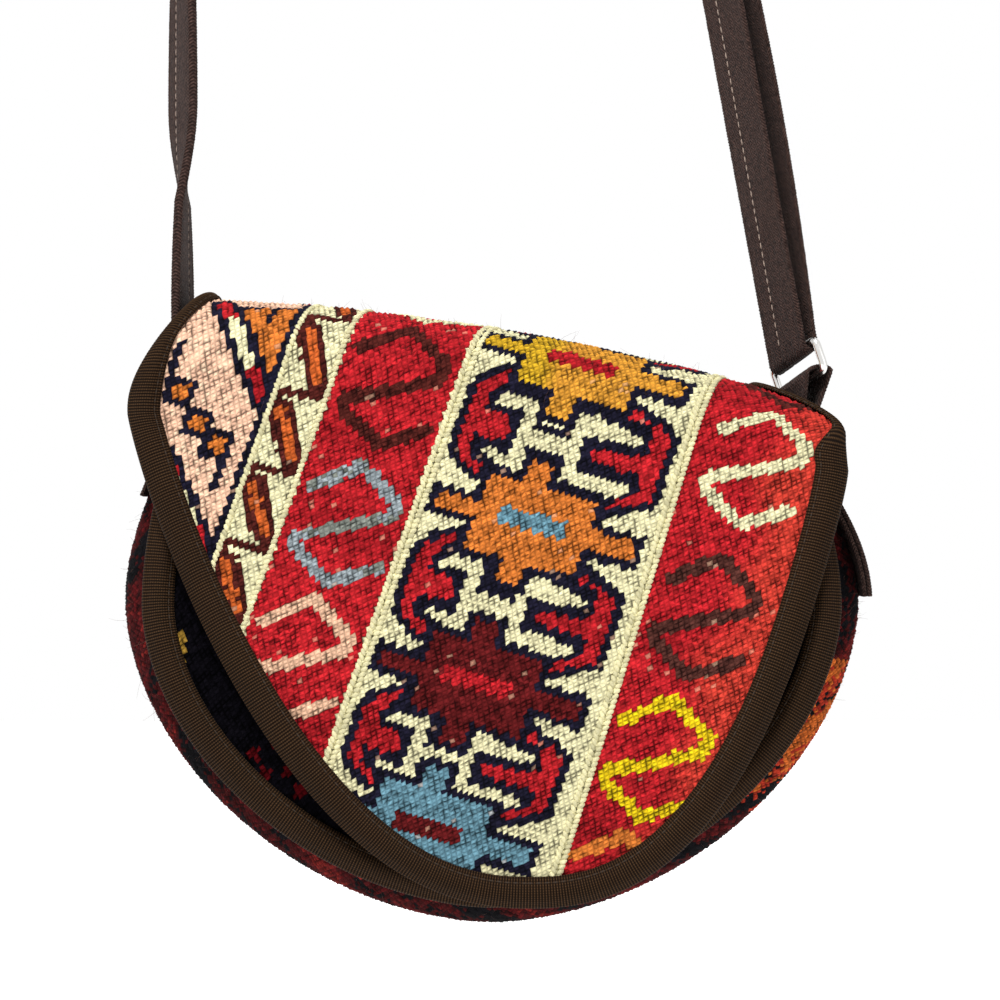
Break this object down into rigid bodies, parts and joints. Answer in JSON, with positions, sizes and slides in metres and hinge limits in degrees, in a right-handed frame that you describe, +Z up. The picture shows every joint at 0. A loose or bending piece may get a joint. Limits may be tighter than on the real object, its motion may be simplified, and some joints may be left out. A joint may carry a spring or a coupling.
{
  "type": "kilim crossbody bag",
  "caption": "Soft woven flap bag with a round body, tape-bound edges, a side gusset, a lining and an adjustable shoulder strap with ring and slider.",
  "frame": {"origin": "under the crest of the strap, where it rests on a shoulder", "axes": "+Z up along the hanging bag, front of the bag facing -Y, +X to the right seen from the front"},
  "size_m": [0.3281, 0.0869, 0.6962],
  "materials": {
    "kilim": "flat-woven wool in red, ivory, navy and orange",
    "dark_kilim": "flat-woven wool, navy black with dark red motifs",
    "gusset_kilim": "flat-woven wool, mottled dark red",
    "lining": "plain dark cotton",
    "tape": "ribbed brown grosgrain",
    "webbing": "dark brown twill webbing",
    "metal": "bright nickel plate"
  },
  "bodies": {
    "bag": {"flap_and_back": "kilim", "flap_lining": "lining", "flap_binding": "tape", "front_panel": "dark_kilim", "front_binding": "tape", "mouth_binding": "tape", "gusset": "gusset_kilim", "lining_pouch": "lining", "strap": "webbing", "strap_return": "webbing", "ring_tab": "webbing"},
    "ring": {"ring": "metal"},
    "slider": {"slider": "metal", "strap_end_loop": "webbing"}
  },
  "joints": [
    {"name": "ring_swing", "type": "hinge", "parent": "bag", "child": "ring", "pos_m": [0.16757, 0, -0.44368], "axis": [0.3987, -0.8598, 0.319], "range_deg": [-6, 6]},
    {"name": "slider_slide", "type": "slide", "parent": "bag", "child": "slider", "axis": [-0.1802, 0, 0.9836], "range_m": [-0.15, 0.12], "deforming": ["strap_return"]}
  ]
}
